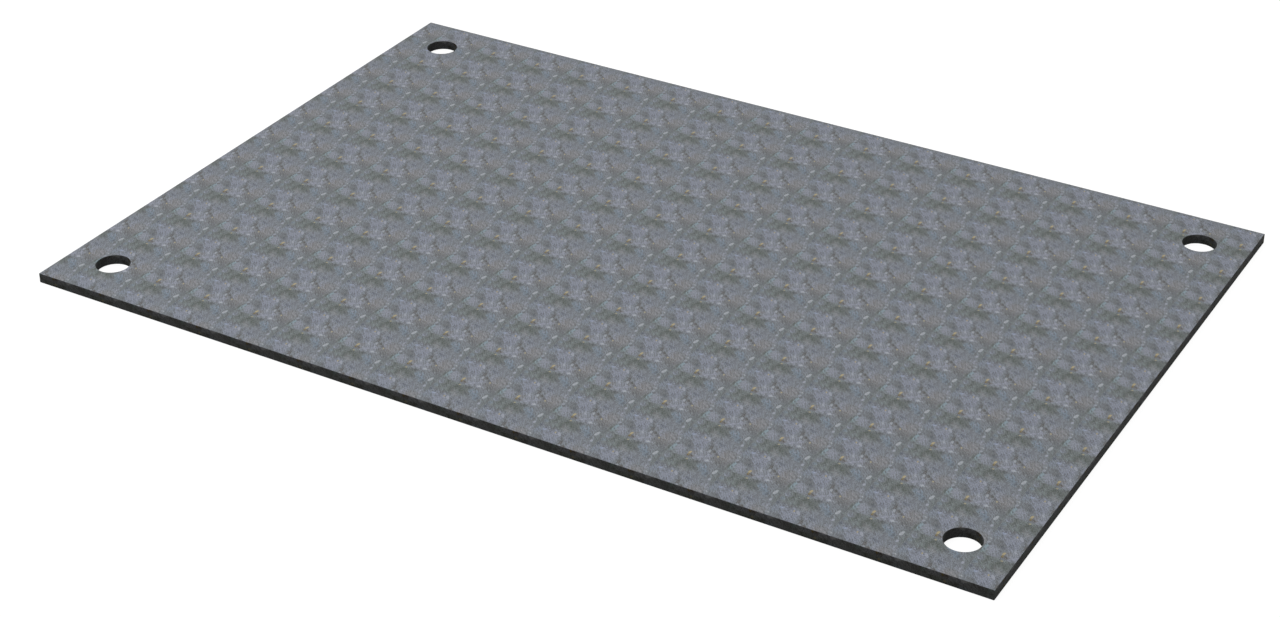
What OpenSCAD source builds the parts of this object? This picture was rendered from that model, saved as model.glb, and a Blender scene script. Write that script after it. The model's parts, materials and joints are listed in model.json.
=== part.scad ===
// Steel road plate: a flat rectangle cut from thick hot-rolled plate, with a round lifting
// hole near each corner. It is one piece of steel.
// Millimetres. Z is up, X runs along the length and Y along the width. The origin is the
// middle of the underside, where the plate lies on the ground.

/* [Plate] */
// Length of the plate, along X
plate_length = 3000; // [1200:50:6000]
// Width of the plate, along Y
plate_width = 2000; // [800:50:3000]
// Thickness of the rolled plate
plate_thickness = 30; // [12:1:60]
// Chamfer ground along every cut edge and corner, against snagging
edge_break = 1; // [0.5:0.5:4]

/* [Lifting holes] */
// Diameter of each lifting hole
hole_diameter = 100; // [40:5:150]
// Distance from a hole's centre to each of the two edges beside it
hole_inset = 150; // [100:5:300]
// Chamfer ground around both rims of a hole
rim_break = 1; // [0.5:0.5:4]

/* [Hidden] */
// How far a cutter passes the face that it cuts through
overshoot = 1;
// Segments drawn around a hole
hole_fn = 96;
hole_radius = hole_diameter / 2;
// Hole centres, measured from the middle of the plate
hole_x = plate_length / 2 - hole_inset;
hole_y = plate_width / 2 - hole_inset;
// Mill steel, as the top face shows it
steel_colour = [0.48, 0.49, 0.51];

// The corners of a rectangle about the origin, each cut off at 45 degrees
function chamfered_rectangle(along, across, chamfer) =
    let (a = along / 2, b = across / 2)
    [
        [a, b - chamfer], [a - chamfer, b],
        [chamfer - a, b], [-a, b - chamfer],
        [-a, chamfer - b], [chamfer - a, -b],
        [a - chamfer, -b], [a, chamfer - b]
    ];

// What the outline and the two cross-sections of the plate have in common, so that each
// of the twelve edges carries its chamfer
module chamfered_blank() {
    translate([0, 0, plate_thickness / 2])
        intersection() {
            linear_extrude(plate_thickness, center = true)
                polygon(chamfered_rectangle(plate_length, plate_width, edge_break));
            rotate([90, 0, 0])
                linear_extrude(plate_width, center = true)
                    polygon(chamfered_rectangle(plate_length, plate_thickness, edge_break));
            rotate([90, 0, 90])
                linear_extrude(plate_length, center = true)
                    polygon(chamfered_rectangle(plate_width, plate_thickness, edge_break));
        }
}

// A hole's section turned about its axis: the straight bore and the chamfer at each rim
module lifting_hole_cutter() {
    flare_radius = hole_radius + rim_break + overshoot;
    rotate_extrude($fn = hole_fn)
        polygon([
            [0, -overshoot],
            [flare_radius, -overshoot],
            [hole_radius, rim_break],
            [hole_radius, plate_thickness - rim_break],
            [flare_radius, plate_thickness + overshoot],
            [0, plate_thickness + overshoot]
        ]);
}

// One cutter at each corner of the plate
module lifting_hole_cutters() {
    for (x = [-hole_x, hole_x], y = [-hole_y, hole_y])
        translate([x, y, 0])
            lifting_hole_cutter();
}

module road_plate() {
    color(steel_colour)
        difference() {
            chamfered_blank();
            lifting_hole_cutters();
        }
}

road_plate();
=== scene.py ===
# Dresses the steel road plate: rolled faces, torch-cut walls, marks and rust, floor, light, camera.
import json
import math

import bmesh
import bpy
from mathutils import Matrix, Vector


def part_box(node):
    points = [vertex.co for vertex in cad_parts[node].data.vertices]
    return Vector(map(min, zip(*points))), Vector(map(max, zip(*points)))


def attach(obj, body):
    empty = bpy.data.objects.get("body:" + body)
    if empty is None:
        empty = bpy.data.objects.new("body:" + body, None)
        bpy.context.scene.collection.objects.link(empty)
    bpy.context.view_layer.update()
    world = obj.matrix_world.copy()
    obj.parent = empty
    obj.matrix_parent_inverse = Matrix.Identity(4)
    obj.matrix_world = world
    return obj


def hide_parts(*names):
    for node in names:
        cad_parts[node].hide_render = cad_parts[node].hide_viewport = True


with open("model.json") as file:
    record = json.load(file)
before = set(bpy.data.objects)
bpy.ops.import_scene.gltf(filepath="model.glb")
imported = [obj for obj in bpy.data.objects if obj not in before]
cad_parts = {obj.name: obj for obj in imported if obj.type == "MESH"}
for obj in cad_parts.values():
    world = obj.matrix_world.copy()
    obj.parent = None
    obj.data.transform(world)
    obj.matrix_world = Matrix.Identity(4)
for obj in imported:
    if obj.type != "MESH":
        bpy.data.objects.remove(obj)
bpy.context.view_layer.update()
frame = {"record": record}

# Millimetres to metres
MM = 0.001

# Sizes of the plate, from the frame, in metres
plate_low, plate_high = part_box("road_plate")
PLATE_LENGTH = plate_high.x - plate_low.x
PLATE_WIDTH = plate_high.y - plate_low.y
PLATE_THICKNESS = plate_high.z - plate_low.z
bores = [mount for mount in frame["record"]["mounts"] if mount["kind"] == "bore"]
HOLE_RADIUS = bores[0]["dims"]["r_mm"] * MM
HOLE_ALONG = max(mount["pos_m"][0] for mount in bores)
HOLE_ACROSS = max(mount["pos_m"][1] for mount in bores)
# What a bore leaves of the thickness is the chamfer at its two rims, and the outer edges have one
# of the same size
RIM_BREAK = (PLATE_THICKNESS - bores[0]["dims"]["length_mm"] * MM) / 2
EDGE_BREAK = RIM_BREAK

# How finely the plate is divided, and how close two points are before they become one, in metres
SIDE_CUTS = 699
HOLE_SEGMENTS = 128
WALL_CUTS = 4
MARK_POINTS = 10
WELD = 0.00001

# Grooves that the cutting torch dragged down the walls: their pitch and depth in metres, how the
# noise that shapes them is squeezed so that they run down, how many chamfers' height they keep from
# the top and the foot, and the noise's seed
DRAG_PITCH = 0.004
DRAG_DEPTH = 0.0003
DRAG_STRETCH = (1.0, 1.0, 0.12)
CHAMFER_ROOM = 1.5
DRAG_SEED = 4.0

# Marks sunk into the top: their depth in metres, their floor's share of their width, how far their
# rim draws in and swells out, the scale and the stretch of the noise that it follows, and how many
# millimetres they stay away from the plate's outline and from the walls of its holes
MARK_DEPTH = 0.00015
MARK_FLOOR = 0.82
MARK_SHRINK = 0.75
MARK_SWELL = 1.15
MARK_NOISE = 1.3
MARK_STRETCH = (0.3, 0.7)
MARK_GAP = 1.3

# A repeat that comes nearer than this to the outline or a hole, in metres, gets its marks one by one
REPEAT_CLEARANCE = 0.014

# The rolled surface repeats at this pitch, in millimetres, from the middle of the plate. On the
# walls the same pattern starts further along, and it goes round a hole twice.
REPEAT = 175.55
ALONG_SIDE_START = 77.7
ALONG_END_START = 49.0
REPEATS_ROUND_HOLE = 2
CUT_PLACE = "place_along_cut"

# Where the UV map lays one repeat of the top, of the walls and of the underside in its picture:
# its lower left corner and how wide it is, as shares of the picture
TOP_IN_PICTURE = ((0.005, 0.005), 0.80)
WALL_IN_PICTURE = ((0.005, 0.815), 0.80)
UNDERSIDE_IN_PICTURE = ((0.812, 0.005), 0.18)

# Sizes that the plate and each of its marks are made from, as their trees of nodes take them
OUTLINE_INPUTS = [
    ("Length", "NodeSocketFloat", PLATE_LENGTH),
    ("Width", "NodeSocketFloat", PLATE_WIDTH),
    ("Hole Along", "NodeSocketFloat", HOLE_ALONG),
    ("Hole Across", "NodeSocketFloat", HOLE_ACROSS),
    ("Hole Radius", "NodeSocketFloat", HOLE_RADIUS),
]
PLATE_INPUTS = OUTLINE_INPUTS + [
    ("Thickness", "NodeSocketFloat", PLATE_THICKNESS),
    ("Edge Break", "NodeSocketFloat", EDGE_BREAK),
    ("Rim Break", "NodeSocketFloat", RIM_BREAK),
    ("Hole Segments", "NodeSocketInt", HOLE_SEGMENTS),
    ("Side Cuts", "NodeSocketInt", SIDE_CUTS),
    ("Wall Cuts", "NodeSocketInt", WALL_CUTS),
    ("Drag Pitch", "NodeSocketFloat", DRAG_PITCH),
    ("Drag Depth", "NodeSocketFloat", DRAG_DEPTH),
    ("Repeat", "NodeSocketFloat", REPEAT * MM),
    ("Clearance", "NodeSocketFloat", REPEAT_CLEARANCE),
    ("Mark Depth", "NodeSocketFloat", MARK_DEPTH),
    ("Seed", "NodeSocketFloat", DRAG_SEED),
]

# Camera, aimed level at the middle of the plate. Its shift gives the photograph's framing.
CAMERA_DISTANCE = 7.495
CAMERA_AZIMUTH = math.radians(30.0)
CAMERA_ELEVATION = math.radians(29.98)
LENS = 71.755
SENSOR = 36.0
SHIFT_RIGHT = -0.01574
SHIFT_UP = -0.03961

# Light
SKY_LIGHT = 0.47
SOFTBOX_POWER = 202.0
SOFTBOX_SIZE = 7.0
SOFTBOX_PLACE = Vector((-2.0, -2.8, 6.5))
FLOOR_SIZE = 80.0
FLOOR_DROP = 0.0003
FLOOR_PALE = 0.60
FLOOR_GLOW = 0.92
FLOOR_SHADOWED = 0.18


def srgb(red, green, blue):
    """A colour as a screen shows it, from 0 to 255, in the linear values that Blender mixes."""
    def linear(value):
        share = value / 255
        return share / 12.92 if share <= 0.04045 else ((share + 0.055) / 1.055) ** 2.4
    return (linear(red), linear(green), linear(blue), 1.0)


# Colours of the steel, as the plate shows them
SCALE_GREY = srgb(121, 126, 132)
LAVENDER = srgb(133, 138, 151)
PALE_LAVENDER = srgb(147, 151, 164)
OLIVE = srgb(97, 103, 100)
DARK_OLIVE = srgb(86, 92, 88)
GREEN_GREY = srgb(111, 119, 118)
STEEL_BLUE = srgb(119, 132, 145)
SLATE = srgb(104, 110, 121)
DARK_SLATE = srgb(86, 93, 102)
TEAL = srgb(134, 154, 162)
ASH = srgb(134, 134, 137)
WARM_GREY = srgb(120, 118, 117)
CHARCOAL = srgb(98, 101, 103)
PALE_BLUE = srgb(150, 160, 182)
DARK_BROWN = srgb(86, 82, 78)
RUST_STAIN = srgb(98, 88, 80)
DUSTY_OCHRE = srgb(152, 147, 130)
PALE_OCHRE = srgb(178, 168, 136)
OCHRE = srgb(179, 167, 135)
DEEP_OCHRE = srgb(130, 114, 66)
BARE_STEEL = srgb(172, 177, 182)
PALE_CHIP = srgb(147, 152, 160)
PALE_FLAKE = srgb(158, 163, 173)
# A dark warm tint that the walls' pattern is multiplied by: painted shade, for the shade that the walls
# stand in
WALL_SHADE_TINT = srgb(135, 131, 124)

# How the scale's pattern is drawn, in millimetres. A wander is how wide its steps are and how far
# they go. Streaks are how long and how wide they are, and all of them lie at one turn. What noise
# may have after its width is how detailed and how rough it is.
STREAK_TURN = math.radians(-52)
WIDE_WANDER = (14.0, 14.0)
FINE_WANDER = (4.0, 7.0)
SMALL_WANDER = (4.0, 5.0)
COVER_STREAKS = (9.0, 4.0)
SCRATCH_STREAKS = (22.0, 2.4)
CLOUD_STREAKS = (9.0, 3.2, 3.0, 0.6)
GRAIN_NOISE = (3.0, 3.0, 0.7)

# The stretch of each noise that counts, and what it becomes at its two ends: a share of a patch's
# strength, or of the colour's brightness
COVER_SHARE = (0.35, 0.65, 0.58, 1.46)
SCRATCH_SHADE = (0.38, 0.62, -0.18, 0.18)
GRAIN_SHADE = (0.35, 0.65, -0.28, 0.28)
GREY_CLOUD = (0.38, 0.62, 0.83, 1.17)
BLUE_CLOUD = (0.38, 0.62, 0.81, 1.19)

# Finishes: how far steel and its scale shine as metal does, how glossy the cut walls are, and each
# one's roughness at the two ends of the cloud or blotches that it follows
METAL_SHARE = 0.35
CUT_GLOSS = 0.05
CLOUD_STRETCH = (0.25, 0.75)
BLOTCH_STRETCH = (0.3, 0.7)
RUST_STRETCH = (0.35, 0.65)
SCALE_ROUGHNESS = (0.52, 0.66)
CUT_ROUGHNESS = (0.70, 0.85)
THIN_ROUGHNESS = (0.46, 0.58)
BARE_ROUGHNESS = (0.40, 0.52)
RUST_ROUGHNESS = (0.80, 0.95)

# How deep each finish's grain is, in metres, and how wide the blotches in the marks are, in
# millimetres
SCALE_GRAIN = 0.0003
CUT_GRAIN = 0.0002
THIN_GRAIN = 0.0002
BARE_GRAIN = 0.0001
RUST_GRAIN = 0.0003
THIN_BLOTCH = 4.0
BARE_BLOTCH = 5.0
RUST_BLOTCH = 3.0

# On the walls the marks are colour only: how strong the bright ones and the rusty ones are, and how
# soft their edges
BRIGHT_SPECK = 0.9
RUSTY_SPECK = 0.5
SPECK_EDGE = 0.3


def feed(tree, socket, value):
    """Links a socket to another, or sets it to a plain value."""
    if isinstance(value, bpy.types.NodeSocket):
        tree.links.new(value, socket)
    else:
        socket.default_value = value


def node(tree, kind, inputs=None, **settings):
    """Adds a node with its settings and its inputs, which are named or numbered."""
    made = tree.nodes.new(kind)
    for name, value in settings.items():
        setattr(made, name, value)
    for key, value in (inputs or {}).items():
        feed(tree, made.inputs[key], value)
    return made


def maths(tree, operation, first, second=0.0):
    """One step of arithmetic."""
    return node(tree, "ShaderNodeMath", {0: first, 1: second}, operation=operation).outputs[0]


def vector_maths(tree, operation, first, second=(0.0, 0.0, 0.0)):
    """One step of arithmetic on vectors."""
    made = node(tree, "ShaderNodeVectorMath", {0: first, 1: second}, operation=operation)
    return made.outputs[0]


def scaled(tree, vector, size):
    """A vector made longer or shorter."""
    return node(tree, "ShaderNodeVectorMath", {0: vector, "Scale": size}, operation="SCALE").outputs[0]


def combine(tree, x=0.0, y=0.0, z=0.0):
    """A vector from its three parts."""
    return node(tree, "ShaderNodeCombineXYZ", {"X": x, "Y": y, "Z": z}).outputs[0]


def mix_colour(tree, factor, first, second, blend="MIX"):
    """Two colours mixed by a factor."""
    made = node(tree, "ShaderNodeMix", data_type="RGBA", blend_type=blend)
    feed(tree, made.inputs[0], factor)
    feed(tree, made.inputs[6], first)
    feed(tree, made.inputs[7], second)
    return made.outputs[2]


def flat_noise(tree, place, grain, detail=2.0, roughness=0.5, colour=False):
    """Noise on the two flat coordinates of place, with features about as wide as grain."""
    made = node(tree, "ShaderNodeTexNoise", {
        "Vector": place, "Scale": 1.0 / grain, "Detail": detail, "Roughness": roughness,
    }, noise_dimensions="2D")
    return made.outputs["Color" if colour else "Fac"]


def streaky_noise(tree, place, length, width, detail=2.0, roughness=0.5):
    """Noise drawn out along the way that the scale's streaks run."""
    drawn = node(tree, "ShaderNodeMapping", {
        "Vector": place, "Rotation": (0.0, 0.0, STREAK_TURN), "Scale": (length, width, 1.0),
    }, vector_type="TEXTURE").outputs[0]
    return flat_noise(tree, drawn, 1.0, detail, roughness)


def ramp(tree, value, low, high, to_low=0.0, to_high=1.0):
    """A value carried smoothly from one range to another."""
    return node(tree, "ShaderNodeMapRange", {
        "Value": value, "From Min": low, "From Max": high, "To Min": to_low, "To Max": to_high,
    }, interpolation_type="SMOOTHSTEP").outputs[0]


# A patch shorter than this, in millimetres, keeps close to its place, and a longer one wanders off
SMALL_PATCH = 19.0

# Where the rolled pattern's soft patches lie in one repeat, in millimetres right and up from its
# corner: place, size, turn in degrees, colour, strength, and how soft the edge is. A faint darker
# strip along the seam lies under them all.
SEAM_STRIP = ((172.0, 88.0), (10.0, 400.0), 0, OLIVE, 0.25, 0.5)
SCALE_PATCHES = [
    # The dark olive band along the far side of the repeat, and the greener stretch below it
    ((52, 150), (112, 62), 0, GREEN_GREY, 0.75, 0.45),
    ((26, 160), (18, 28), 0, OLIVE, 0.90, 0.60),
    ((60, 154), (34, 26), -20, OLIVE, 0.90, 0.60),
    ((88, 150), (22, 44), 40, OLIVE, 0.75, 0.60),
    ((53, 137), (14, 26), 15, OLIVE, 0.75, 0.60),
    ((100, 141), (26, 14), -20, CHARCOAL, 0.60, 0.60),
    ((90, 171), (22, 13), 0, CHARCOAL, 0.75, 0.60),
    ((34, 172), (20, 10), 0, OLIVE, 0.85, 0.60),
    ((93, 172), (10, 8), 0, DARK_OLIVE, 0.30, 0.60),
    ((60, 160), (13, 15), 0, DARK_OLIVE, 0.95, 0.60),
    ((82, 146), (10, 13), 40, DARK_OLIVE, 0.60, 0.60),
    ((53, 136), (8, 15), 15, DARK_OLIVE, 0.60, 0.60),
    ((105, 138), (13, 6), -20, SLATE, 0.30, 0.60),
    ((44, 167), (10, 10), 0, GREEN_GREY, 0.50, 0.60),
    ((74, 128), (40, 18), -35, ASH, 0.45, 0.70),
    # The blue area beside it
    ((114, 158), (30, 22), -15, STEEL_BLUE, 0.65, 0.55),
    ((122, 148), (28, 22), -45, STEEL_BLUE, 0.60, 0.60),
    ((134, 137), (16, 30), 20, STEEL_BLUE, 0.65, 0.60),
    ((116, 158), (9, 6), -30, PALE_LAVENDER, 0.80, 0.60),
    ((140, 134), (8, 12), 0, DARK_SLATE, 0.60, 0.60),
    # The green grey strip down the right side
    ((166, 142), (26, 76), 8, GREEN_GREY, 0.45, 0.55),
    ((173, 142), (5, 14), 0, ASH, 0.50, 0.60),
    ((12, 158), (20, 14), 0, LAVENDER, 0.70, 0.60),
    ((6, 138), (14, 16), 0, STEEL_BLUE, 0.50, 0.60),
    # The lavender middle, with a darker vein through it
    ((50, 88), (58, 44), -42, LAVENDER, 0.80, 0.60),
    ((62, 92), (16, 16), -42, PALE_LAVENDER, 0.85, 0.60),
    ((62, 66), (44, 30), -50, LAVENDER, 0.90, 0.60),
    ((110, 98), (56, 44), 0, LAVENDER, 0.35, 0.60),
    ((128, 62), (26, 32), 20, PALE_LAVENDER, 0.60, 0.45),
    ((28, 105), (44, 12), -35, LAVENDER, 0.30, 0.60),
    ((10, 92), (22, 30), 0, STEEL_BLUE, 0.40, 0.60),
    ((10, 92), (16, 20), 0, LAVENDER, 0.40, 0.60),
    ((164, 90), (30, 18), -50, PALE_LAVENDER, 0.50, 0.60),
    ((112, 94), (22, 10), -20, SLATE, 0.80, 0.60),
    # The lavender near side
    ((24, 22), (30, 44), 30, PALE_LAVENDER, 0.55, 0.60),
    ((78, 40), (12, 24), 35, PALE_CHIP, 0.65, 0.60),
    ((60, 45), (26, 14), -40, LAVENDER, 0.50, 0.60),
    ((84, 26), (34, 38), 10, PALE_LAVENDER, 0.40, 0.60),
    ((108, 32), (18, 34), 40, PALE_LAVENDER, 0.60, 0.60),
    ((98, 14), (46, 16), -10, PALE_LAVENDER, 0.55, 0.60),
    # Warm grey on the right, and dark patches
    ((152, 50), (46, 56), 0, ASH, 0.70, 0.50),
    ((142, 62), (10, 34), 25, WARM_GREY, 0.35, 0.60),
    ((140, 26), (50, 36), -20, WARM_GREY, 0.45, 0.60),
    ((148, 14), (44, 18), -45, CHARCOAL, 0.55, 0.70),
    ((36, 54), (40, 20), -42, CHARCOAL, 0.60, 0.60),
    ((43, 47), (14, 12), 0, SLATE, 0.40, 0.60),
    ((86, 90), (9, 28), 32, CHARCOAL, 0.60, 0.60),
    ((4, 116), (12, 14), 0, SLATE, 0.85, 0.60),
    ((4, 116), (8, 10), 0, DARK_SLATE, 0.60, 0.60),
    ((30, 120), (34, 8), -45, CHARCOAL, 0.45, 0.60),
    ((44, 118), (14, 14), 0, CHARCOAL, 0.45, 0.60),
    # Rusty cracks between the lavender areas
    ((94, 69), (8, 17), 12, DARK_BROWN, 0.90, 0.60),
    ((108, 56), (13, 9), -25, DARK_BROWN, 0.70, 0.55),
    ((121, 48), (18, 7), -35, DARK_BROWN, 0.50, 0.55),
    ((106, 47), (8, 7), 0, WARM_GREY, 0.60, 0.70),
    # Teal cut off by the seam
    ((2, 32), (17, 18), 0, TEAL, 0.70, 0.60),
    ((2, 14), (17, 18), 0, TEAL, 0.90, 0.60),
    ((10, 8), (26, 18), -30, GREEN_GREY, 0.60, 0.60),
    ((173, 16), (9, 34), 0, OLIVE, 0.75, 0.60),
    ((173, 14), (7, 12), 0, DARK_OLIVE, 0.60, 0.60),
    # Stains round the rust specks
    ((65, 11), (18, 10), 10, RUST_STAIN, 0.60, 0.60),
    ((57, 13), (6, 9), 0, DEEP_OCHRE, 1.00, 0.60),
    ((66, 28), (14, 16), 0, ASH, 0.60, 0.60),
    ((42, 118), (6, 6), 0, RUST_STAIN, 0.50, 0.60),
    # Pale streaks, and thin spots round the flakes that came off
    ((24, 102), (9, 8), -30, PALE_BLUE, 0.95, 0.60),
    ((3, 53), (8, 12), 10, PALE_FLAKE, 0.90, 0.60),
    ((1, 66), (7, 11), 10, BARE_STEEL, 0.65, 0.60),
    ((173, 67), (7, 12), 10, PALE_CHIP, 0.70, 0.60),
    ((77, 114), (5, 10), 15, PALE_CHIP, 0.80, 0.60),
    ((99, 87), (5, 12), 35, PALE_LAVENDER, 0.75, 0.60),
    ((123, 12), (18, 8), 0, PALE_CHIP, 0.95, 0.60),
    ((146, 9), (4, 8), 20, PALE_CHIP, 0.45, 0.60),
    ((97, 53), (8, 13), 18, PALE_FLAKE, 0.50, 0.60),
    ((113, 12), (13, 8), 0, PALE_LAVENDER, 0.55, 0.60),
]

# Marks with a real edge, sunk a little into the face, from the same corner: place, size, turn
BARE_MARKS = [
    ((155.5, 151.5), (11, 23), -10),
    ((97.5, 52), (5, 9), 18),
    ((113.5, 11.5), (17, 5), 0),
]
FLAKED_MARKS = [
    ((158.5, 117.5), (8, 15), -5),
    ((70.5, 100.5), (9, 20), 35),
]
RUST_MARKS = [
    ((56, 23), (8, 15), -5),
    ((57.5, 102.5), (5, 9), 12),
    ((129, 41), (6, 8), 20),
    ((63, 169.5), (8, 6), -15),
]

# Patches of other rust in those marks: brighter in the largest, and deeper at its near end
RUST_PATCHES = [
    ((56, 23), (16, 18), 0, OCHRE, 1.0, 0.3),
    ((57, 13), (12, 10), 0, DEEP_OCHRE, 1.0, 0.5),
]


def new_tree(name, kind, inputs, outputs):
    """A tree of nodes with named inputs and outputs."""
    tree = bpy.data.node_groups.new(name, kind)
    for label, socket_kind, value in inputs:
        socket = tree.interface.new_socket(label, in_out="INPUT", socket_type=socket_kind)
        if value is not None:
            socket.default_value = value
    for label, socket_kind in outputs:
        tree.interface.new_socket(label, in_out="OUTPUT", socket_type=socket_kind)
    return tree, node(tree, "NodeGroupInput").outputs


def finish_tree(tree, *results):
    """Sends results to the tree's outputs, in their order."""
    node(tree, "NodeGroupOutput", dict(enumerate(results)))
    return tree


def in_repeat(tree, where):
    """Millimetres right and up from the corner of the repeat that a place on the pattern is in."""
    return node(tree, "ShaderNodeVectorMath", {
        0: where, 1: (REPEAT, REPEAT, 1.0), 2: (0.0, 0.0, 0.0),
    }, operation="WRAP").outputs[0]


def place_on_face(tree):
    """Where a point of a rolled face lies in its repeat."""
    where = node(tree, "ShaderNodeTexCoord").outputs["Object"]
    return in_repeat(tree, vector_maths(tree, "MULTIPLY", where, (1 / MM, 1 / MM, 0.0)))


def place_on_cut(tree):
    """Where a point of a cut wall lies in its repeat, measured along the cut."""
    where = node(tree, "ShaderNodeAttribute", attribute_name=CUT_PLACE).outputs["Vector"]
    return in_repeat(tree, where)


def wander(tree, place, grain, reach):
    """Moves a place about by noise, so that what is drawn there gets a ragged outline."""
    noise = flat_noise(tree, place, grain, colour=True)
    push = vector_maths(tree, "SUBTRACT", noise, (0.5, 0.5, 0.5))
    push = vector_maths(tree, "MULTIPLY", push, (reach, reach, 0.0))
    return vector_maths(tree, "ADD", place, push)


def paint_patch(tree, colour, place, patch, broken=None):
    """Lays one soft patch over the colour so far, broken up by a cover where one is given."""
    (right, up), (length, height), turn, tint, strength, softness = patch
    inside = node(tree, "ShaderNodeMapping", {
        "Vector": place, "Location": (right, up, 0.0), "Rotation": (0.0, 0.0, math.radians(turn)),
        "Scale": (length / 2, height / 2, 1.0),
    }, vector_type="TEXTURE").outputs[0]
    reach = node(tree, "ShaderNodeVectorMath", {0: inside}, operation="LENGTH").outputs["Value"]
    cover = ramp(tree, reach, 1.0 - softness, 1.0 + softness, strength, 0.0)
    if broken:
        cover = maths(tree, "MULTIPLY", cover, broken)
    return mix_colour(tree, cover, colour, tint)


def new_material(name):
    """An empty material with its shader and the tree that holds it."""
    material = bpy.data.materials.new(name)
    material.use_nodes = True
    return material, material.node_tree, material.node_tree.nodes["Principled BSDF"]


def give_finish(tree, shader, colour, roughness, height, depth):
    """Gives a shader its colour and roughness, and raises its grain by up to a depth in metres."""
    bump = node(tree, "ShaderNodeBump", {"Height": height, "Distance": depth, "Strength": 1.0})
    feed(tree, shader.inputs["Base Color"], colour)
    feed(tree, shader.inputs["Roughness"], roughness)
    feed(tree, shader.inputs["Normal"], bump.outputs[0])


def rolled_pattern():
    """A node group that gives the scale's colour, cloud and grain at a place in its repeat."""
    tree, given = new_tree("rolled_pattern", "ShaderNodeTree", [("Place", "NodeSocketVector", None)], [
        ("Colour", "NodeSocketColor"), ("Cloud", "NodeSocketFloat"), ("Grain", "NodeSocketFloat"),
    ])
    place = given["Place"]
    far_off = wander(tree, wander(tree, place, *WIDE_WANDER), *FINE_WANDER)
    nearby = wander(tree, place, *SMALL_WANDER)
    broken = ramp(tree, streaky_noise(tree, place, *COVER_STREAKS), *COVER_SHARE)
    colour = paint_patch(tree, SCALE_GREY, place, SEAM_STRIP)
    for patch in SCALE_PATCHES:
        ragged = nearby if max(patch[1]) < SMALL_PATCH else far_off
        colour = paint_patch(tree, colour, ragged, patch, broken)
    scratch = streaky_noise(tree, nearby, *SCRATCH_STREAKS)
    cloud = streaky_noise(tree, far_off, *CLOUD_STREAKS)
    grain = flat_noise(tree, place, *GRAIN_NOISE)
    shade = maths(tree, "ADD", ramp(tree, scratch, *SCRATCH_SHADE), ramp(tree, grain, *GRAIN_SHADE))
    grey = maths(tree, "ADD", shade, ramp(tree, cloud, *GREY_CLOUD))
    blue = maths(tree, "ADD", shade, ramp(tree, cloud, *BLUE_CLOUD))
    colour = mix_colour(tree, 1.0, colour, combine(tree, grey, grey, blue), "MULTIPLY")
    return finish_tree(tree, colour, cloud, grain)


def mill_scale_material(pattern):
    """Blue and green grey mill scale, in the mottled pattern that repeats across the plate."""
    material, tree, shader = new_material("mill_scale")
    rolled = node(tree, "ShaderNodeGroup", {"Place": place_on_face(tree)}, node_tree=pattern).outputs
    roughness = ramp(tree, rolled["Cloud"], *CLOUD_STRETCH, *SCALE_ROUGHNESS)
    shader.inputs["Metallic"].default_value = METAL_SHARE
    give_finish(tree, shader, rolled["Colour"], roughness, rolled["Grain"], SCALE_GRAIN)
    return material


def cut_edge_material(pattern):
    """The torch-cut walls: the rolled pattern and its specks, darkened all over into painted shade."""
    material, tree, shader = new_material("cut_edge")
    place = place_on_cut(tree)
    rolled = node(tree, "ShaderNodeGroup", {"Place": place}, node_tree=pattern).outputs
    colour = rolled["Colour"]
    for mark in BARE_MARKS + FLAKED_MARKS:
        colour = paint_patch(tree, colour, place, (*mark, BARE_STEEL, BRIGHT_SPECK, SPECK_EDGE))
    for mark in RUST_MARKS:
        colour = paint_patch(tree, colour, place, (*mark, OCHRE, RUSTY_SPECK, SPECK_EDGE))
    # Painted shade: the whole pattern darkened, as the walls look in shade
    colour = mix_colour(tree, 1.0, colour, WALL_SHADE_TINT, "MULTIPLY")
    roughness = ramp(tree, rolled["Cloud"], *CLOUD_STRETCH, *CUT_ROUGHNESS)
    shader.inputs["Specular IOR Level"].default_value = CUT_GLOSS
    give_finish(tree, shader, colour, roughness, rolled["Grain"], CUT_GRAIN)
    return material


def blotched_steel(name, width, colours, roughness, grain):
    """A finish in blotches of two colours, each about as wide as width, in millimetres."""
    material, tree, shader = new_material(name)
    blotch = flat_noise(tree, place_on_face(tree), width)
    colour = mix_colour(tree, ramp(tree, blotch, *BLOTCH_STRETCH), *colours)
    shader.inputs["Metallic"].default_value = METAL_SHARE
    give_finish(tree, shader, colour, ramp(tree, blotch, *BLOTCH_STRETCH, *roughness), blotch, grain)
    return material


def thin_scale_material():
    """Pale scale, thinner where its upper layer has flaked off."""
    colours = (PALE_LAVENDER, PALE_FLAKE)
    return blotched_steel("thin_scale", THIN_BLOTCH, colours, THIN_ROUGHNESS, THIN_GRAIN)


def bare_steel_material():
    """Bright steel where a flake of scale has come off."""
    colours = (PALE_CHIP, BARE_STEEL)
    return blotched_steel("bare_steel", BARE_BLOTCH, colours, BARE_ROUGHNESS, BARE_GRAIN)


def rust_material():
    """Ochre rust in the deeper specks."""
    material, tree, shader = new_material("rust")
    place = place_on_face(tree)
    blotch = flat_noise(tree, place, RUST_BLOTCH)
    colour = mix_colour(tree, ramp(tree, blotch, *RUST_STRETCH), DUSTY_OCHRE, PALE_OCHRE)
    for patch in RUST_PATCHES:
        colour = paint_patch(tree, colour, place, patch)
    roughness = ramp(tree, blotch, *BLOTCH_STRETCH, *RUST_ROUGHNESS)
    give_finish(tree, shader, colour, roughness, blotch, RUST_GRAIN)
    return material


def join(tree, *pieces):
    """Several geometries as one."""
    made = node(tree, "GeometryNodeJoinGeometry")
    for piece in pieces:
        tree.links.new(piece, made.inputs[0])
    return made.outputs[0]


def moved(tree, mesh, step):
    """A mesh moved by a step."""
    return node(tree, "GeometryNodeTransform", {"Geometry": mesh, "Translation": step}).outputs[0]


def copied(tree, piece, points):
    """A real copy of a piece at every point."""
    copies = node(tree, "GeometryNodeInstanceOnPoints", {"Points": points, "Instance": piece})
    return node(tree, "GeometryNodeRealizeInstances", {"Geometry": copies.outputs[0]}).outputs[0]


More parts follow.
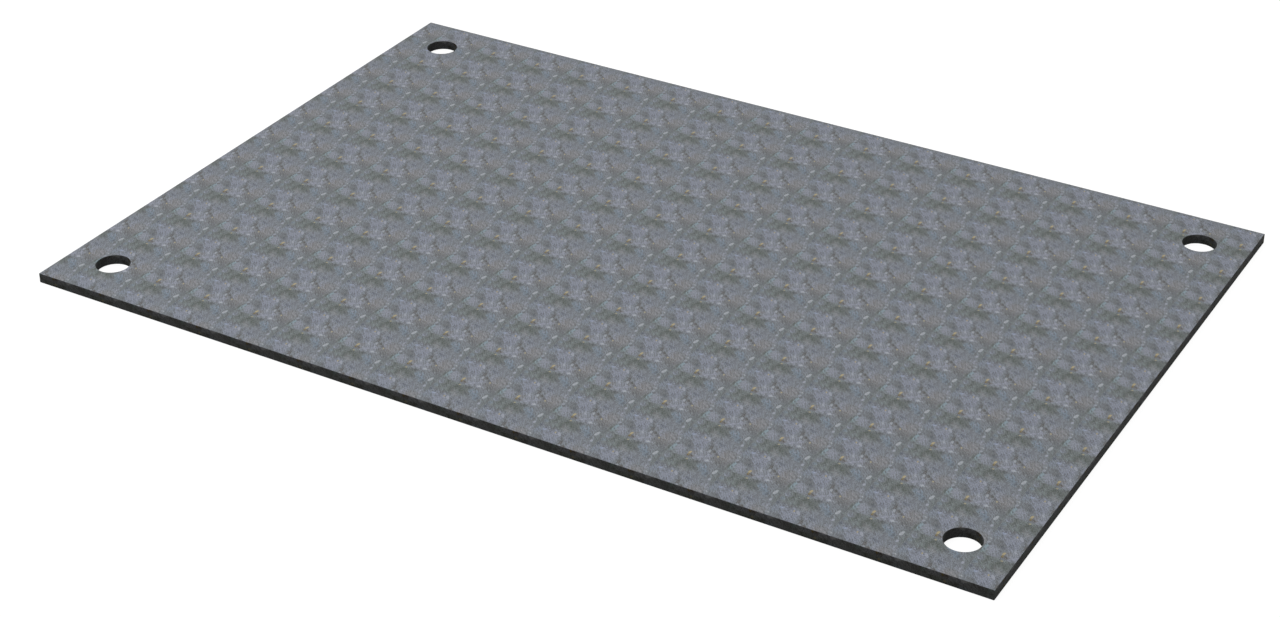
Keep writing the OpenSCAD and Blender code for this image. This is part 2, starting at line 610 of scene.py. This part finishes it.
def wall_profile(tree, chamfer, thickness, cuts):
    """A wall's section: its upper chamfer, its straight face and its lower chamfer, going down."""
    face_end = maths(tree, "SUBTRACT", thickness, chamfer)
    top_of_face = combine(tree, chamfer, chamfer)
    foot_of_face = combine(tree, chamfer, face_end)
    upper = node(tree, "GeometryNodeCurvePrimitiveLine", {"End": top_of_face})
    face = node(tree, "GeometryNodeCurvePrimitiveLine", {"Start": top_of_face, "End": foot_of_face})
    face = node(tree, "GeometryNodeSubdivideCurve", {"Curve": face.outputs[0], "Cuts": cuts})
    lower = node(tree, "GeometryNodeCurvePrimitiveLine", {
        "Start": foot_of_face, "End": combine(tree, 0.0, thickness),
    })
    return join(tree, upper.outputs[0], face.outputs[0], lower.outputs[0])


def swept_wall(tree, path, chamfer, thickness, cuts):
    """The wall's section swept along the edge that it hangs from."""
    return node(tree, "GeometryNodeCurveToMesh", {
        "Curve": path, "Profile Curve": wall_profile(tree, chamfer, thickness, cuts),
    }).outputs[0]


def upright(tree, curve):
    """A flat curve whose swept section stands upright."""
    return node(tree, "GeometryNodeSetCurveNormal", {"Curve": curve}, mode="Z_UP").outputs[0]


def drag_lines(tree, wall, sizes):
    """Pushes a wall's face in along upright grooves, as a torch drags them, and leaves its chamfers."""
    spot = node(tree, "GeometryNodeInputPosition").outputs[0]
    depth_below = maths(tree, "ABSOLUTE", node(tree, "ShaderNodeSeparateXYZ", {0: spot}).outputs["Z"])
    room = maths(tree, "MULTIPLY", sizes["Edge Break"], CHAMFER_ROOM)
    under_chamfer = maths(tree, "GREATER_THAN", depth_below, room)
    above_foot = maths(tree, "LESS_THAN", depth_below, maths(tree, "SUBTRACT", sizes["Thickness"], room))
    groove = node(tree, "ShaderNodeTexNoise", {
        "Vector": vector_maths(tree, "MULTIPLY", spot, DRAG_STRETCH), "W": sizes["Seed"],
        "Detail": 1.0, "Scale": maths(tree, "DIVIDE", 1.0, sizes["Drag Pitch"]),
    }, noise_dimensions="4D").outputs[0]
    push = maths(tree, "MULTIPLY", maths(tree, "MULTIPLY", groove, sizes["Drag Depth"]), -1.0)
    outwards = node(tree, "GeometryNodeInputNormal").outputs[0]
    return node(tree, "GeometryNodeSetPosition", {
        "Geometry": wall, "Offset": scaled(tree, outwards, push),
        "Selection": maths(tree, "MULTIPLY", under_chamfer, above_foot),
    }).outputs[0]


def painted(tree, mesh, material):
    """The mesh in one material."""
    return node(tree, "GeometryNodeSetMaterial", {"Geometry": mesh, "Material": material}).outputs[0]


def beyond(tree, reach, along, across):
    """Whether a reach from the plate's middle goes past a distance along, and past one across."""
    reach = node(tree, "ShaderNodeSeparateXYZ", {0: reach}).outputs
    past_along = maths(tree, "GREATER_THAN", reach["X"], along)
    past_across = maths(tree, "GREATER_THAN", reach["Y"], across)
    return past_along, past_across


def past_outline(tree, sizes, reach):
    """1 where a reach from the plate's middle comes nearer to its outline than the clearance."""
    half_length = maths(tree, "DIVIDE", sizes["Length"], 2.0)
    half_width = maths(tree, "DIVIDE", sizes["Width"], 2.0)
    room_along = maths(tree, "SUBTRACT", half_length, sizes["Clearance"])
    room_across = maths(tree, "SUBTRACT", half_width, sizes["Clearance"])
    return maths(tree, "MAXIMUM", *beyond(tree, reach, room_along, room_across))


def mark_tree():
    """One shallow mark: once in its repeat, and copied to each cut-off repeat with room for it."""
    tree, sizes = new_tree("sunk_mark", "GeometryNodeTree", OUTLINE_INPUTS + [
        ("Cut Repeats", "NodeSocketGeometry", None),
        ("Clearance", "NodeSocketFloat", REPEAT_CLEARANCE),
        ("Place", "NodeSocketVector", (0.0, 0.0, 0.0)),
        ("Half Size", "NodeSocketVector", (MM, MM, 1.0)),
        ("Turn", "NodeSocketFloat", 0.0),
        ("Depth", "NodeSocketFloat", MARK_DEPTH),
        ("Floor Share", "NodeSocketFloat", MARK_FLOOR),
        ("Points", "NodeSocketInt", MARK_POINTS),
        ("Seed", "NodeSocketFloat", 0.0),
        ("Material", "NodeSocketMaterial", None),
    ], [("One", "NodeSocketGeometry"), ("In Cut Repeats", "NodeSocketGeometry")])

    # An uneven disc, pressed in to the mark's depth, with a smaller floor
    ring = node(tree, "GeometryNodeCurvePrimitiveCircle", {
        "Resolution": sizes["Points"], "Radius": 1.0,
    })
    disc = node(tree, "GeometryNodeFillCurve", {"Curve": ring.outputs[0]}, mode="NGONS")
    around = node(tree, "GeometryNodeInputPosition").outputs[0]
    uneven = node(tree, "ShaderNodeTexNoise", {
        "Vector": around, "W": sizes["Seed"], "Scale": MARK_NOISE,
    }, noise_dimensions="4D").outputs[0]
    swell = ramp(tree, uneven, *MARK_STRETCH, MARK_SHRINK, MARK_SWELL)
    rim = vector_maths(tree, "MULTIPLY", scaled(tree, around, swell), sizes["Half Size"])
    rim = node(tree, "ShaderNodeVectorRotate", {
        "Vector": rim, "Angle": sizes["Turn"],
    }, rotation_type="Z_AXIS")
    disc = node(tree, "GeometryNodeSetPosition", {
        "Geometry": disc.outputs[0], "Position": rim.outputs[0],
    })
    sunk = node(tree, "GeometryNodeExtrudeMesh", {
        "Mesh": disc.outputs[0], "Offset Scale": maths(tree, "MULTIPLY", sizes["Depth"], -1.0),
    }, mode="FACES").outputs
    pit = node(tree, "GeometryNodeScaleElements", {
        "Geometry": sunk["Mesh"], "Selection": sunk["Top"], "Scale": sizes["Floor Share"],
    }, domain="FACE").outputs[0]
    pit = painted(tree, pit, sizes["Material"])

    # Drops the copies that would cross the plate's outline or the rim of a hole
    spots = node(tree, "GeometryNodeSetPosition", {
        "Geometry": sizes["Cut Repeats"], "Offset": sizes["Place"],
    }).outputs[0]
    away = vector_maths(tree, "ABSOLUTE", node(tree, "GeometryNodeInputPosition").outputs[0])
    from_hole = node(tree, "ShaderNodeVectorMath", {
        0: away, 1: combine(tree, sizes["Hole Along"], sizes["Hole Across"]),
    }, operation="DISTANCE").outputs["Value"]
    around_hole = maths(tree, "ADD", sizes["Hole Radius"], sizes["Clearance"])
    in_hole = maths(tree, "LESS_THAN", from_hole, around_hole)
    dropped = maths(tree, "MAXIMUM", past_outline(tree, sizes, away), in_hole)
    spots = node(tree, "GeometryNodeDeleteGeometry", {"Geometry": spots, "Selection": dropped})
    return finish_tree(tree, moved(tree, pit, sizes["Place"]), copied(tree, pit, spots.outputs[0]))


def repeat_grid(tree, sizes):
    """A grid of the pattern's repeats, out from the middle of the plate and past its edges."""
    def cells(span):
        half = maths(tree, "DIVIDE", maths(tree, "DIVIDE", span, 2.0), sizes["Repeat"])
        return maths(tree, "MULTIPLY", maths(tree, "CEIL", half), 2.0)

    columns = cells(sizes["Length"])
    rows = cells(sizes["Width"])
    return node(tree, "GeometryNodeMeshGrid", {
        "Size X": maths(tree, "MULTIPLY", columns, sizes["Repeat"]),
        "Size Y": maths(tree, "MULTIPLY", rows, sizes["Repeat"]),
        "Vertices X": maths(tree, "ADD", columns, 1.0), "Vertices Y": maths(tree, "ADD", rows, 1.0),
    }).outputs[0]


def cut_repeat(tree, sizes):
    """1 for a repeat that the plate's outline cuts off, or that lies in a corner with a hole."""
    spot = vector_maths(tree, "ABSOLUTE", node(tree, "GeometryNodeInputPosition").outputs[0])
    half = maths(tree, "DIVIDE", sizes["Repeat"], 2.0)
    far_corner = vector_maths(tree, "ADD", spot, combine(tree, half, half))
    around_hole = maths(tree, "ADD", sizes["Hole Radius"], sizes["Clearance"])
    hole_end = maths(tree, "SUBTRACT", sizes["Hole Along"], around_hole)
    hole_side = maths(tree, "SUBTRACT", sizes["Hole Across"], around_hole)
    by_hole = maths(tree, "MULTIPLY", *beyond(tree, far_corner, hole_end, hole_side))
    return maths(tree, "MAXIMUM", past_outline(tree, sizes, far_corner), by_hole)


def open_rims(tree, mesh):
    """The edges of a mesh that have a face on one side only, as curves."""
    borders = maths(tree, "COMPARE", node(tree, "GeometryNodeInputMeshEdgeNeighbors").outputs[0], 1.0)
    return node(tree, "GeometryNodeMeshToCurve", {"Mesh": mesh, "Selection": borders}).outputs[0]


def filled(tree, *curves):
    """The flat face that lies inside the outermost curves and outside those within."""
    return node(tree, "GeometryNodeFillCurve", {"Curve": join(tree, *curves)}).outputs[0]


def face_middles(tree, mesh, chosen):
    """A point in the middle of each face that is chosen."""
    return node(tree, "GeometryNodeMeshToPoints", {
        "Mesh": mesh, "Selection": chosen,
    }, mode="FACES").outputs[0]


def sunk_mark(tree, sizes, mark, cut_repeats, shape, material, seed):
    """One of the top's marks, in one repeat and in the cut-off ones."""
    (right, up), (length, height), turn = shape
    reach = max(length, height) / 2 * MARK_SWELL
    inputs = {label: sizes[label] for label, kind, value in OUTLINE_INPUTS}
    inputs.update({
        "Cut Repeats": cut_repeats,
        "Clearance": (reach + MARK_GAP) * MM,
        "Place": ((right - REPEAT / 2) * MM, (up - REPEAT / 2) * MM, 0.0),
        "Half Size": (length * MM / 2, height * MM / 2, 1.0),
        "Turn": math.radians(turn),
        "Depth": sizes["Mark Depth"],
        "Seed": float(seed),
        "Material": material,
    })
    return node(tree, "GeometryNodeGroup", inputs, node_tree=mark).outputs


def marked_top(tree, sizes, outline, rims, grid, block, mark, finishes):
    """The top face: a copy of one marked tile in each whole repeat, and the rest filled round them."""
    cut = cut_repeat(tree, sizes)
    cut_repeats = face_middles(tree, grid, cut)
    whole_repeats = face_middles(tree, grid, maths(tree, "SUBTRACT", 1.0, cut))

    kinds = [(shape, finishes["bare"]) for shape in BARE_MARKS]
    kinds += [(shape, finishes["thin"]) for shape in FLAKED_MARKS]
    kinds += [(shape, finishes["rust"]) for shape in RUST_MARKS]
    marks = [
        sunk_mark(tree, sizes, mark, cut_repeats, shape, material, seed)
        for seed, (shape, material) in enumerate(kinds)
    ]
    once = join(tree, *[made["One"] for made in marks])
    in_cut = join(tree, *[made["In Cut Repeats"] for made in marks])

    square = node(tree, "GeometryNodeCurvePrimitiveQuadrilateral", {
        "Width": sizes["Repeat"], "Height": sizes["Repeat"],
    }).outputs[0]
    plain = painted(tree, filled(tree, square, open_rims(tree, once)), finishes["scale"])
    tiles = copied(tree, join(tree, plain, once), whole_repeats)
    border = filled(tree, outline, rims, open_rims(tree, block), open_rims(tree, in_cut))
    return join(tree, tiles, painted(tree, border, finishes["scale"]), in_cut)


def plate_tree(mark, finishes):
    """The whole plate: two rolled faces, and walls swept round the outline and the holes."""
    tree, sizes = new_tree("torch_cut_plate", "GeometryNodeTree", PLATE_INPUTS, [
        ("Mesh", "NodeSocketGeometry"),
    ])

    # The outline where the top face meets its chamfer
    double_break = maths(tree, "MULTIPLY", sizes["Edge Break"], 2.0)
    outline = node(tree, "GeometryNodeCurvePrimitiveQuadrilateral", {
        "Width": maths(tree, "SUBTRACT", sizes["Length"], double_break),
        "Height": maths(tree, "SUBTRACT", sizes["Width"], double_break),
    }).outputs[0]
    outline = node(tree, "GeometryNodeSubdivideCurve", {
        "Curve": outline, "Cuts": sizes["Side Cuts"],
    }).outputs[0]
    outline = upright(tree, outline)

    # The rims of the four holes, run the other way round so that their walls face inwards
    circle = node(tree, "GeometryNodeCurvePrimitiveCircle", {
        "Resolution": sizes["Hole Segments"],
        "Radius": maths(tree, "ADD", sizes["Hole Radius"], sizes["Rim Break"]),
    }).outputs[0]
    circle = upright(tree, node(tree, "GeometryNodeReverseCurve", {"Curve": circle}).outputs[0])
    centres = node(tree, "GeometryNodeMeshGrid", {
        "Size X": maths(tree, "MULTIPLY", sizes["Hole Along"], 2.0),
        "Size Y": maths(tree, "MULTIPLY", sizes["Hole Across"], 2.0),
        "Vertices X": 2, "Vertices Y": 2,
    }).outputs[0]
    rims = copied(tree, circle, centres)

    # The walls, torch-cut
    thickness = sizes["Thickness"]
    side_wall = swept_wall(tree, outline, sizes["Edge Break"], thickness, sizes["Wall Cuts"])
    hole_wall = swept_wall(tree, rims, sizes["Rim Break"], thickness, sizes["Wall Cuts"])
    walls = painted(tree, drag_lines(tree, join(tree, side_wall, hole_wall), sizes), finishes["cut"])

    # The two rolled faces, each with a block of whole repeats and a border
    grid = repeat_grid(tree, sizes)
    block = node(tree, "GeometryNodeDeleteGeometry", {
        "Geometry": grid, "Selection": cut_repeat(tree, sizes),
    }, domain="FACE").outputs[0]
    top = marked_top(tree, sizes, outline, rims, grid, block, mark, finishes)
    under = join(tree, filled(tree, outline, rims, open_rims(tree, block)), block)
    under = node(tree, "GeometryNodeFlipFaces", {"Mesh": under}).outputs[0]
    under = moved(tree, under, combine(tree, z=maths(tree, "MULTIPLY", thickness, -1.0)))

    # All of it welded, and lifted to stand on the floor
    plate = join(tree, top, walls, painted(tree, under, finishes["scale"]))
    plate = node(tree, "GeometryNodeMergeByDistance", {"Geometry": plate, "Distance": WELD}).outputs[0]
    plate = moved(tree, plate, combine(tree, z=thickness))
    plate = node(tree, "GeometryNodeSetShadeSmooth", {
        "Geometry": plate, "Shade Smooth": False,
    }).outputs[0]
    return finish_tree(tree, node(tree, "GeometryNodeRealizeInstances", {"Geometry": plate}).outputs[0])


def set_inputs(modifier, values):
    """Sets a Geometry Nodes modifier's named inputs."""
    for item in modifier.node_group.interface.items_tree:
        if item.item_type == "SOCKET" and item.in_out == "INPUT" and item.name in values:
            modifier[item.identifier] = values[item.name]


def crosses(face, axis, lines):
    """Whether a face has corners on both sides of one of the lines across an axis."""
    lowest = min(corner.co[axis] for corner in face.verts) + WELD
    highest = max(corner.co[axis] for corner in face.verts) - WELD
    return any(lowest < line < highest for line in lines)


def split_at_repeats(shape, faces, axis, start):
    """Splits faces where the pattern starts again along an axis, so that each lies in one repeat."""
    half = (PLATE_LENGTH, PLATE_WIDTH)[axis] / 2
    step = REPEAT * MM
    first = math.ceil((-half - start) / step)
    last = math.floor((half - start) / step)
    lines = [start + number * step for number in range(first, last + 1)]
    across = Vector((1.0, 0.0, 0.0)) if axis == 0 else Vector((0.0, 1.0, 0.0))
    faces = [face for face in faces if crosses(face, axis, lines)]
    pieces = set(faces)
    for face in faces:
        pieces.update(face.edges)
        pieces.update(face.verts)
    pieces = list(pieces)
    for line in lines:
        pieces = bmesh.ops.bisect_plane(
            shape, geom=pieces, dist=WELD, plane_co=across * line, plane_no=across
        )["geom"]


def hole_beside(point):
    """The middle of the hole whose wall a point is on, or None."""
    middle = Vector((math.copysign(HOLE_ALONG, point.x), math.copysign(HOLE_ACROSS, point.y)))
    return middle if (point.xy - middle).length < HOLE_RADIUS + 2 * RIM_BREAK else None


def place_along_cut(face, centre, corner):
    """Where a corner of a wall's face lies on the pattern, in millimetres along the cut and up."""
    up = (corner.z - PLATE_THICKNESS / 2) / MM
    middle = hole_beside(centre)
    if middle:
        to_face = centre.xy - middle
        turn = to_face.angle_signed(corner.xy - middle)
        around = math.atan2(to_face.y, to_face.x) - turn
        return (around / math.tau * REPEATS_ROUND_HOLE * REPEAT, up)
    if abs(face.normal.x) > abs(face.normal.y):
        return (corner.y / MM - ALONG_END_START, up)
    return (corner.x / MM - ALONG_SIDE_START, up)


def repeat_start(distances):
    """Where the repeat begins that holds the middle of some distances, in millimetres."""
    return math.floor(sum(distances) / len(distances) / REPEAT) * REPEAT


def lay_out(mesh, cut):
    """Places the walls along the cut, and lays every repeat over the same part of one picture."""
    shape = bmesh.new()
    shape.from_mesh(mesh)
    wall = mesh.materials.find(cut.name)
    straight = [
        face for face in shape.faces
        if face.material_index == wall and not hole_beside(face.calc_center_median())
    ]
    sides = [face for face in straight if abs(face.normal.y) > abs(face.normal.x)]
    ends = [face for face in straight if abs(face.normal.x) > abs(face.normal.y)]
    for axis in (0, 1):
        sheets = [face for face in shape.faces if face.material_index != wall]
        split_at_repeats(shape, sheets, axis, 0.0)
    split_at_repeats(shape, sides, 0, ALONG_SIDE_START * MM)
    split_at_repeats(shape, ends, 1, ALONG_END_START * MM)

    picture = shape.loops.layers.uv.new("OFBake")
    along_cut = shape.loops.layers.float_vector.new(CUT_PLACE)
    for face in shape.faces:
        centre = face.calc_center_median()
        on_wall = face.material_index == wall
        if on_wall:
            places = [place_along_cut(face, centre, corner.co) for corner in face.verts]
            (left, low), width = WALL_IN_PICTURE
            bottom = -PLATE_THICKNESS / 2 / MM
        else:
            places = [(corner.co.x / MM, corner.co.y / MM) for corner in face.verts]
            (left, low), width = TOP_IN_PICTURE if face.normal.z > 0 else UNDERSIDE_IN_PICTURE
            bottom = repeat_start([up for along, up in places])
        start = repeat_start([along for along, up in places])
        for corner, (along, up) in zip(face.loops, places):
            picture_x = left + (along - start) / REPEAT * width
            picture_y = low + (up - bottom) / REPEAT * width
            corner[picture].uv = (picture_x, picture_y)
            if on_wall:
                corner[along_cut] = (along, up, 0.0)
    shape.to_mesh(mesh)
    shape.free()


def make_plate():
    """Builds the plate and puts it in the place of the CAD node."""
    pattern = rolled_pattern()
    finishes = {
        "scale": mill_scale_material(pattern), "cut": cut_edge_material(pattern),
        "bare": bare_steel_material(), "thin": thin_scale_material(), "rust": rust_material(),
    }
    tree = plate_tree(mark_tree(), finishes)
    maker = bpy.data.objects.new("plate_maker", bpy.data.meshes.new("plate_maker"))
    bpy.context.scene.collection.objects.link(maker)
    modifier = maker.modifiers.new("plate", "NODES")
    modifier.node_group = tree
    set_inputs(modifier, {label: value for label, kind, value in PLATE_INPUTS})
    evaluated = maker.evaluated_get(bpy.context.evaluated_depsgraph_get())
    mesh = bpy.data.meshes.new_from_object(evaluated)
    mesh.name = "rolled_plate"
    mesh.materials.pop(index=list(mesh.materials).index(None))
    bpy.data.objects.remove(maker)
    lay_out(mesh, finishes["cut"])
    plate = bpy.data.objects.new("rolled_plate", mesh)
    bpy.context.scene.collection.objects.link(plate)
    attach(plate, "root")
    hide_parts("road_plate")
    return plate


def seen_directly(tree):
    """1 for a ray from the camera, or one that a shiny or clear surface sends on."""
    path = node(tree, "ShaderNodeLightPath").outputs
    either = maths(tree, "MAXIMUM", path["Is Camera Ray"], path["Is Glossy Ray"])
    return maths(tree, "MAXIMUM", either, path["Is Transmission Ray"])


def plain_grey(level):
    """A grey with no tint, from 0 for black to 1 for white."""
    return (level, level, level, 1.0)


def make_floor():
    """A plain pale floor that looks white, keeps the plate's shadow, and lights the plate softly."""
    half = FLOOR_SIZE / 2
    mesh = bpy.data.meshes.new("floor")
    corners = [(-half, -half), (half, -half), (half, half), (-half, half)]
    mesh.from_pydata([(x, y, -FLOOR_DROP) for x, y in corners], [], [(0, 1, 2, 3)])
    material = bpy.data.materials.new("floor")
    material.use_nodes = True
    tree = material.node_tree
    tree.nodes.clear()
    lights_plate = node(tree, "ShaderNodeBsdfDiffuse", {"Color": plain_grey(FLOOR_PALE)}).outputs[0]
    takes_shadow = node(tree, "ShaderNodeBsdfDiffuse", {"Color": plain_grey(FLOOR_SHADOWED)}).outputs[0]
    glow = node(tree, "ShaderNodeEmission", {"Color": plain_grey(1.0), "Strength": FLOOR_GLOW}).outputs[0]
    looks_white = node(tree, "ShaderNodeAddShader", {0: takes_shadow, 1: glow}).outputs[0]
    surface = node(tree, "ShaderNodeMixShader", {
        0: seen_directly(tree), 1: lights_plate, 2: looks_white,
    }).outputs[0]
    node(tree, "ShaderNodeOutputMaterial", {"Surface": surface})
    mesh.materials.append(material)
    floor = bpy.data.objects.new("floor", mesh)
    bpy.context.scene.collection.objects.link(floor)


def make_sky():
    """A world that looks white and lights the plate evenly."""
    world = bpy.data.worlds.new("sky")
    bpy.context.scene.world = world
    world.use_nodes = True
    tree = world.node_tree
    tree.nodes.clear()
    strength = ramp(tree, seen_directly(tree), 0.0, 1.0, SKY_LIGHT, 1.0)
    sky = node(tree, "ShaderNodeBackground", {"Color": plain_grey(1.0), "Strength": strength})
    node(tree, "ShaderNodeOutputWorld", {"Surface": sky.outputs[0]})


def make_softbox():
    """One large soft light, high on the near left."""
    lamp = bpy.data.lights.new("softbox", "AREA")
    lamp.energy = SOFTBOX_POWER
    lamp.size = SOFTBOX_SIZE
    softbox = bpy.data.objects.new("softbox", lamp)
    softbox.location = SOFTBOX_PLACE
    softbox.rotation_mode = "QUATERNION"
    softbox.rotation_quaternion = (-SOFTBOX_PLACE).to_track_quat("-Z", "Y")
    bpy.context.scene.collection.objects.link(softbox)


def make_camera():
    """The photograph's view of the plate."""
    camera = bpy.data.objects.new("camera", bpy.data.cameras.new("camera"))
    camera.data.lens = LENS
    camera.data.sensor_width = SENSOR
    camera.data.shift_x = SHIFT_RIGHT
    camera.data.shift_y = SHIFT_UP
    back = Vector((
        math.sin(CAMERA_AZIMUTH) * math.cos(CAMERA_ELEVATION),
        -math.cos(CAMERA_AZIMUTH) * math.cos(CAMERA_ELEVATION),
        math.sin(CAMERA_ELEVATION),
    ))
    camera.location = (plate_low + plate_high) / 2 + back * CAMERA_DISTANCE
    camera.rotation_mode = "QUATERNION"
    camera.rotation_quaternion = (-back).to_track_quat("-Z", "Y")
    bpy.context.scene.collection.objects.link(camera)
    bpy.context.scene.camera = camera


make_camera()
make_plate()
make_floor()
make_sky()
make_softbox()
bpy.context.scene.view_settings.view_transform = "Standard"
